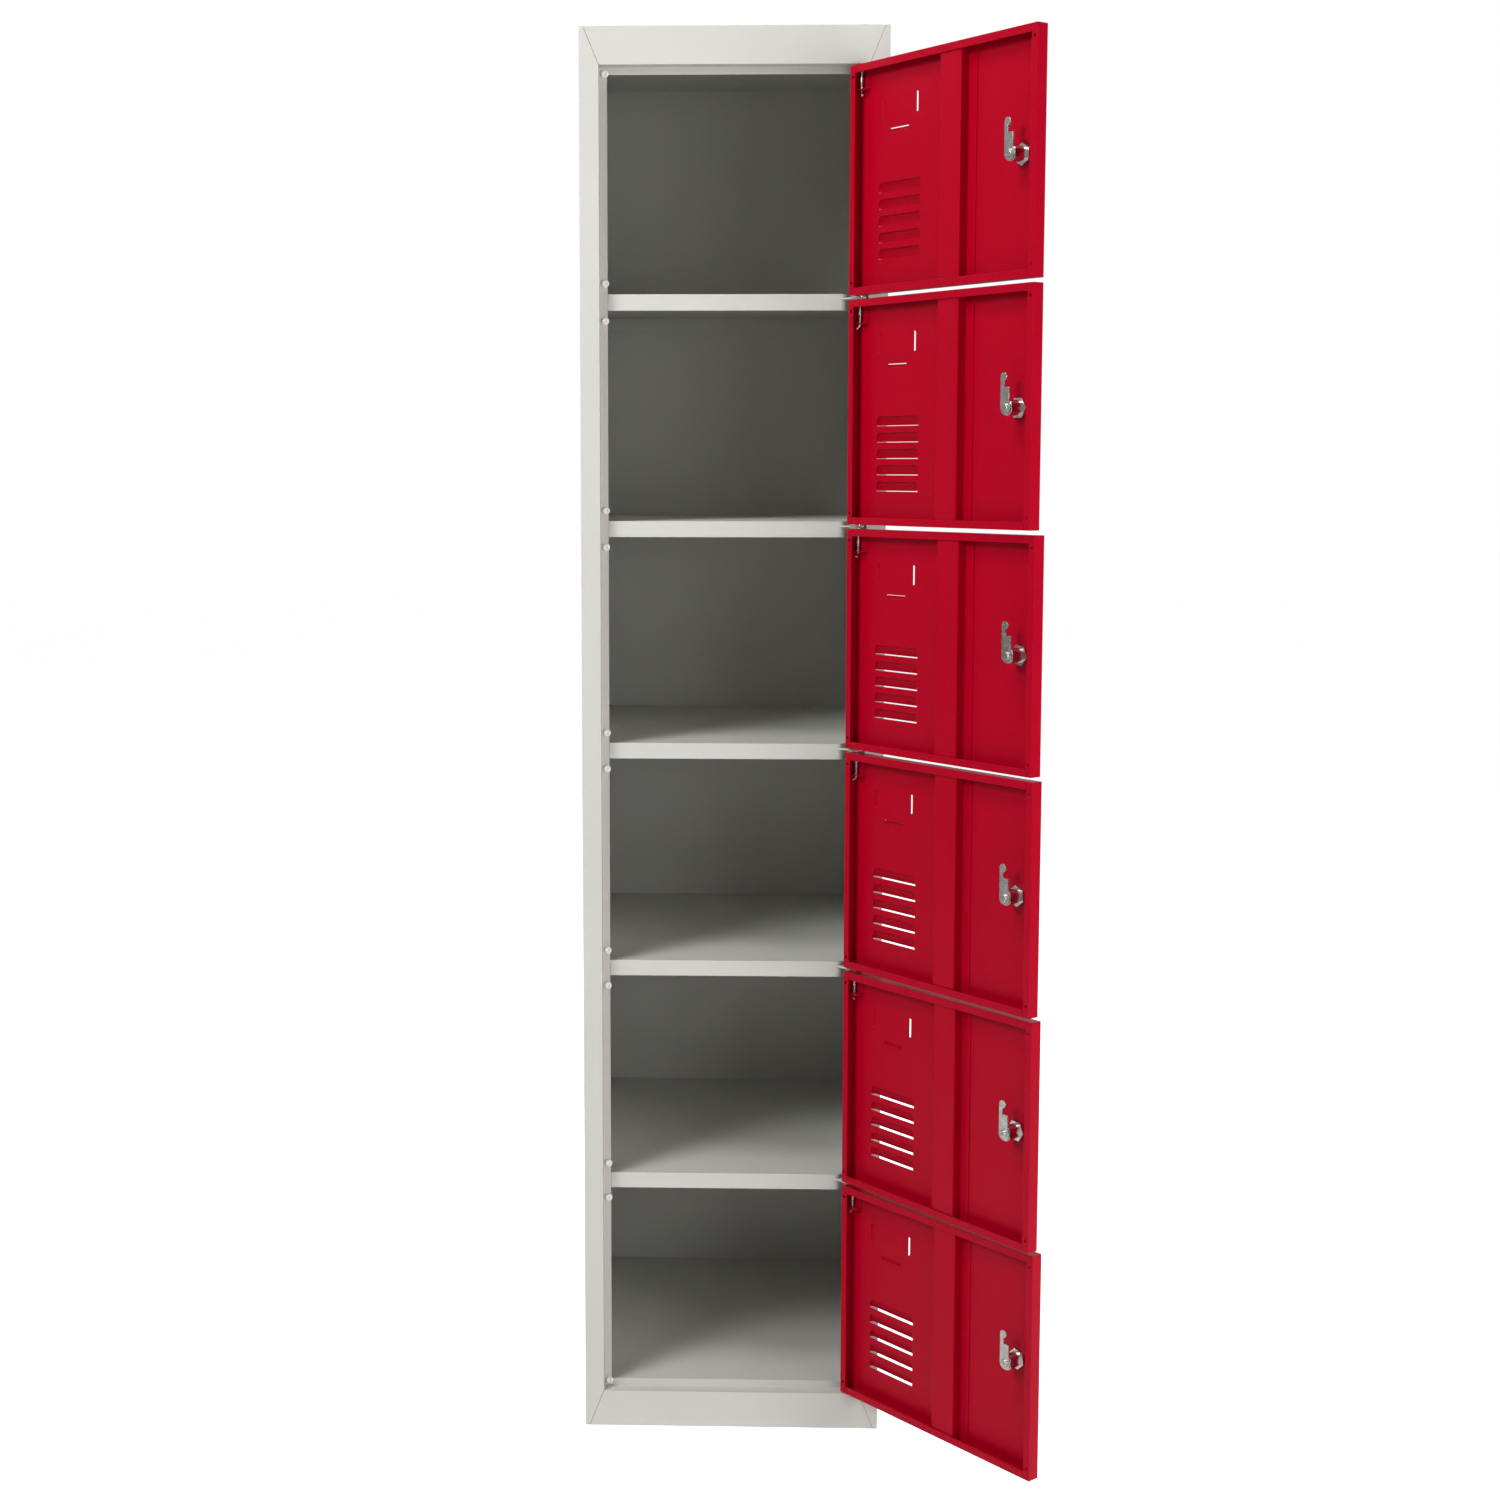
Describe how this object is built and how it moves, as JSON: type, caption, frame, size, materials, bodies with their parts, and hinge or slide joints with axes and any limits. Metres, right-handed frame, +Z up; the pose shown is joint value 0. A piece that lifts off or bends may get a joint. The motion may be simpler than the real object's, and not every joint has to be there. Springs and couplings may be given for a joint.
{
  "type": "school locker",
  "caption": "Tall narrow steel locker with a column of stacked compartments. Each has a folded, louvred door on a right-hand pin hinge, closed by a cam lock.",
  "frame": {"origin": "the middle of the cabinet's front edge, on the floor", "axes": "+X to the right seen from the front, +Y into the locker, +Z up"},
  "size_m": [0.5581, 0.72, 1.78],
  "materials": {
    "grey_paint": "light grey powder coat",
    "red_paint": "crimson powder coat",
    "bumper_plastic": "soft white plastic",
    "zinc_steel": "bright zinc plate",
    "spring_steel": "drawn wire",
    "lock_chrome": "plated die casting"
  },
  "bodies": {
    "cabinet": {"left_side_panel": "grey_paint", "right_side_panel": "grey_paint", "back_panel": "grey_paint", "top_panel": "grey_paint", "base_panel": "grey_paint", "shelf_1": "grey_paint", "shelf_2": "grey_paint", "shelf_3": "grey_paint", "shelf_4": "grey_paint", "shelf_5": "grey_paint", "door_bumpers": "bumper_plastic", "hinge_lugs": "grey_paint", "pivot_eyelets": "zinc_steel"},
    "door_1": {"door_1_panel": "red_paint", "door_1_reinforcements": "red_paint", "door_1_pin_spring": "spring_steel", "door_1_lock_housing": "lock_chrome"},
    "pin_1": {"door_1_hinge_pin": "zinc_steel"},
    "lock_1": {"door_1_lock_plug": "lock_chrome", "door_1_lock_cam": "zinc_steel"},
    "door_2": {"door_2_panel": "red_paint", "door_2_reinforcements": "red_paint", "door_2_pin_spring": "spring_steel", "door_2_lock_housing": "lock_chrome"},
    "pin_2": {"door_2_hinge_pin": "zinc_steel"},
    "lock_2": {"door_2_lock_plug": "lock_chrome", "door_2_lock_cam": "zinc_steel"},
    "door_3": {"door_3_panel": "red_paint", "door_3_reinforcements": "red_paint", "door_3_pin_spring": "spring_steel", "door_3_lock_housing": "lock_chrome"},
    "pin_3": {"door_3_hinge_pin": "zinc_steel"},
    "lock_3": {"door_3_lock_plug": "lock_chrome", "door_3_lock_cam": "zinc_steel"},
    "door_4": {"door_4_panel": "red_paint", "door_4_reinforcements": "red_paint", "door_4_pin_spring": "spring_steel", "door_4_lock_housing": "lock_chrome"},
    "pin_4": {"door_4_hinge_pin": "zinc_steel"},
    "lock_4": {"door_4_lock_plug": "lock_chrome", "door_4_lock_cam": "zinc_steel"},
    "door_5": {"door_5_panel": "red_paint", "door_5_reinforcements": "red_paint", "door_5_pin_spring": "spring_steel", "door_5_lock_housing": "lock_chrome"},
    "pin_5": {"door_5_hinge_pin": "zinc_steel"},
    "lock_5": {"door_5_lock_plug": "lock_chrome", "door_5_lock_cam": "zinc_steel"},
    "door_6": {"door_6_panel": "red_paint", "door_6_reinforcements": "red_paint", "door_6_pin_spring": "spring_steel", "door_6_lock_housing": "lock_chrome"},
    "pin_6": {"door_6_hinge_pin": "zinc_steel"},
    "lock_6": {"door_6_lock_plug": "lock_chrome", "door_6_lock_cam": "zinc_steel"}
  },
  "joints": [
    {"name": "door_1_hinge", "type": "hinge", "parent": "cabinet", "child": "door_1", "pos_m": [0.156, 0.004, 1.59342], "axis": [0, 0, 1], "range_deg": [-126.5, 7.5]},
    {"name": "lock_1_turn", "type": "hinge", "parent": "door_1", "child": "lock_1", "pos_m": [0.32963, -0.22393, 1.59342], "axis": [0.8039, 0.5948, 0], "range_deg": [0, 90]},
    {"name": "pin_1_slide", "type": "slide", "parent": "door_1", "child": "pin_1", "axis": [0, 0, 1], "range_m": [-0.005, 0], "stiffness_N_per_m": 600, "springref_m": 0.004, "deforming": ["door_1_pin_spring"]},
    {"name": "door_2_hinge", "type": "hinge", "parent": "cabinet", "child": "door_2", "pos_m": [0.156, 0.004, 1.31225], "axis": [0, 0, 1], "range_deg": [-126.5, 7.5]},
    {"name": "lock_2_turn", "type": "hinge", "parent": "door_2", "child": "lock_2", "pos_m": [0.32963, -0.22393, 1.31225], "axis": [0.8039, 0.5948, 0], "range_deg": [0, 90]},
    {"name": "pin_2_slide", "type": "slide", "parent": "door_2", "child": "pin_2", "axis": [0, 0, 1], "range_m": [-0.005, 0], "stiffness_N_per_m": 600, "springref_m": 0.004, "deforming": ["door_2_pin_spring"]},
    {"name": "door_3_hinge", "type": "hinge", "parent": "cabinet", "child": "door_3", "pos_m": [0.156, 0.004, 1.03108], "axis": [0, 0, 1], "range_deg": [-128, 6]},
    {"name": "lock_3_turn", "type": "hinge", "parent": "door_3", "child": "lock_3", "pos_m": [0.33554, -0.2193, 1.03108], "axis": [0.788, 0.6157, 0], "range_deg": [0, 90]},
    {"name": "pin_3_slide", "type": "slide", "parent": "door_3", "child": "pin_3", "axis": [0, 0, 1], "range_m": [-0.005, 0], "stiffness_N_per_m": 600, "springref_m": 0.004, "deforming": ["door_3_pin_spring"]},
    {"name": "door_4_hinge", "type": "hinge", "parent": "cabinet", "child": "door_4", "pos_m": [0.156, 0.004, 0.74992], "axis": [0, 0, 1], "range_deg": [-128.5, 5.5]},
    {"name": "lock_4_turn", "type": "hinge", "parent": "door_4", "child": "lock_4", "pos_m": [0.33748, -0.21773, 0.74992], "axis": [0.7826, 0.6225, 0], "range_deg": [0, 90]},
    {"name": "pin_4_slide", "type": "slide", "parent": "door_4", "child": "pin_4", "axis": [0, 0, 1], "range_m": [-0.005, 0], "stiffness_N_per_m": 600, "springref_m": 0.004, "deforming": ["door_4_pin_spring"]},
    {"name": "door_5_hinge", "type": "hinge", "parent": "cabinet", "child": "door_5", "pos_m": [0.156, 0.004, 0.46875], "axis": [0, 0, 1], "range_deg": [-129.5, 4.5]},
    {"name": "lock_5_turn", "type": "hinge", "parent": "door_5", "child": "lock_5", "pos_m": [0.34132, -0.21453, 0.46875], "axis": [0.7716, 0.6361, 0], "range_deg": [0, 90]},
    {"name": "pin_5_slide", "type": "slide", "parent": "door_5", "child": "pin_5", "axis": [0, 0, 1], "range_m": [-0.005, 0], "stiffness_N_per_m": 600, "springref_m": 0.004, "deforming": ["door_5_pin_spring"]},
    {"name": "door_6_hinge", "type": "hinge", "parent": "cabinet", "child": "door_6", "pos_m": [0.156, 0.004, 0.18758], "axis": [0, 0, 1], "range_deg": [-131, 3]},
    {"name": "lock_6_turn", "type": "hinge", "parent": "door_6", "child": "lock_6", "pos_m": [0.34698, -0.2096, 0.18758], "axis": [0.7547, 0.6561, 0], "range_deg": [0, 90]},
    {"name": "pin_6_slide", "type": "slide", "parent": "door_6", "child": "pin_6", "axis": [0, 0, 1], "range_m": [-0.005, 0], "stiffness_N_per_m": 600, "springref_m": 0.004, "deforming": ["door_6_pin_spring"]}
  ]
}
